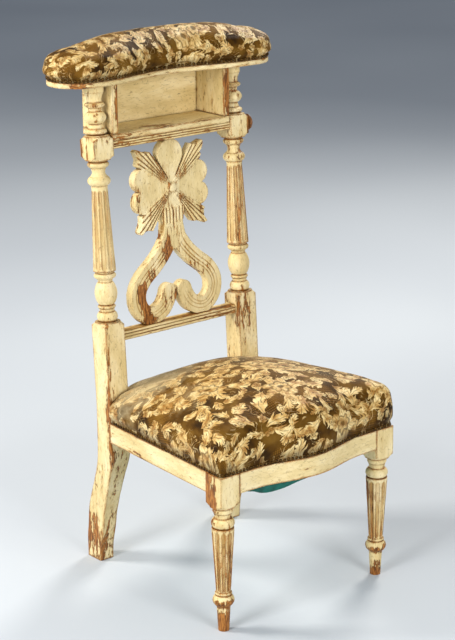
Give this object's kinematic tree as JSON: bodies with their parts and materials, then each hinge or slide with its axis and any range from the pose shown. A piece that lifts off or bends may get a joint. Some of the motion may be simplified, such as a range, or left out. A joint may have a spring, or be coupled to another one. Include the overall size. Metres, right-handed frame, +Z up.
{
  "type": "prie dieu chair",
  "caption": "Prie dieu: a low upholstered seat, turned fluted legs and posts, a carved pierced splat and an open book box under a padded arm board.",
  "frame": {"origin": "middle of the bounding box in x and y, on the floor", "axes": "+Z up, +Y to the back of the chair, +X to the right as seen from the front"},
  "size_m": [0.495, 0.5016, 1.0004],
  "materials": {
    "painted_wood": "worn chalky cream paint over stained wood",
    "bare_wood": "bare stained wood",
    "brocade": "silk-like woven floral brocade",
    "horsehair": "curled horsehair stuffing",
    "jute": "jute webbing and hessian",
    "steel_wire": "dull copper-washed spring wire",
    "green_cambric": "plain dark green cambric",
    "bronzed_nails": "darkened bronzed tack heads"
  },
  "bodies": {
    "root": {"front_leg_left": "painted_wood", "front_leg_right": "painted_wood", "rear_post_left": "painted_wood", "rear_post_right": "painted_wood", "seat_rail_front": "painted_wood", "seat_rail_back": "painted_wood", "seat_rail_left": "painted_wood", "seat_rail_right": "painted_wood", "lower_back_rail": "painted_wood", "shelf_rail": "painted_wood", "splat": "painted_wood", "shelf_board": "painted_wood", "box_side_left": "painted_wood", "box_side_right": "painted_wood", "box_back_panel": "painted_wood", "arm_board": "painted_wood", "corner_brace_front_left": "bare_wood", "corner_brace_front_right": "bare_wood", "corner_brace_back_left": "bare_wood", "corner_brace_back_right": "bare_wood", "side_boss": "bare_wood", "seat_cover": "brocade", "pad_cover": "brocade", "seat_stuffing": "horsehair", "pad_stuffing": "horsehair", "seat_hessian": "jute", "webbing_lengthwise_1": "jute", "webbing_lengthwise_2": "jute", "webbing_lengthwise_3": "jute", "webbing_crosswise_1": "jute", "webbing_crosswise_2": "jute", "webbing_crosswise_3": "jute", "seat_spring_1": "steel_wire", "seat_spring_2": "steel_wire", "seat_spring_3": "steel_wire", "seat_spring_4": "steel_wire", "seat_spring_5": "steel_wire", "dust_cover": "green_cambric"}
  },
  "joints": []
}
